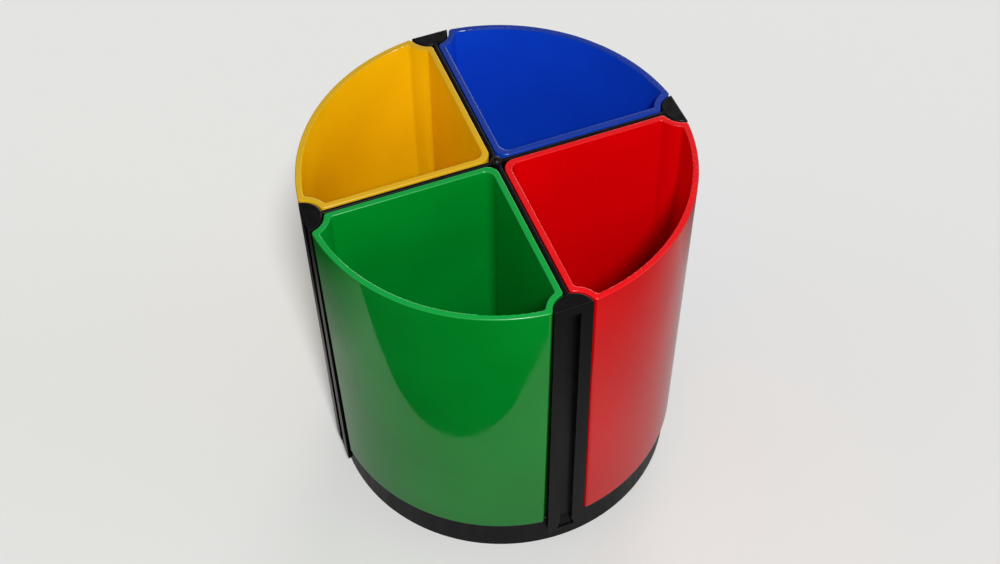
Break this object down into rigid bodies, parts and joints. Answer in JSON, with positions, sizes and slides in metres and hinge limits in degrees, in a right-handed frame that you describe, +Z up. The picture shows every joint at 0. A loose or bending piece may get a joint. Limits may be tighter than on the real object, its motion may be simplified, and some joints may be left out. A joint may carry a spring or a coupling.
{
  "type": "pen holder",
  "caption": "Desk pen holder: coloured quarter-round cups lift out of a black frame with a round base, crossed vanes and grooved posts. Turned about, the cups make it square.",
  "frame": {"origin": "on the upright axis, at the underside of the base, where it stands on the table", "axes": "+Z up along the axis; +X and +Y each point at a post; the blue cup lies between +X and +Y, then yellow, green and red anticlockwise seen from above"},
  "size_m": [0.099, 0.099, 0.1055],
  "materials": {
    "black_plastic": "moulded polystyrene, semi-gloss",
    "blue_plastic": "moulded polystyrene, polished",
    "yellow_plastic": "moulded polystyrene, polished",
    "green_plastic": "moulded polystyrene, polished",
    "red_plastic": "moulded polystyrene, polished"
  },
  "bodies": {
    "stand": {"base_disc": "black_plastic", "divider_cross": "black_plastic"},
    "blue_cup": {"blue_cup": "blue_plastic"},
    "yellow_cup": {"yellow_cup": "yellow_plastic"},
    "green_cup": {"green_cup": "green_plastic"},
    "red_cup": {"red_cup": "red_plastic"}
  },
  "joints": [
    {"name": "blue_cup_lift", "type": "slide", "parent": "stand", "child": "blue_cup", "axis": [0, 0, 1], "range_m": [0, 0.1]},
    {"name": "yellow_cup_lift", "type": "slide", "parent": "stand", "child": "yellow_cup", "axis": [0, 0, 1], "range_m": [0, 0.1]},
    {"name": "green_cup_lift", "type": "slide", "parent": "stand", "child": "green_cup", "axis": [0, 0, 1], "range_m": [0, 0.1]},
    {"name": "red_cup_lift", "type": "slide", "parent": "stand", "child": "red_cup", "axis": [0, 0, 1], "range_m": [0, 0.1]}
  ]
}
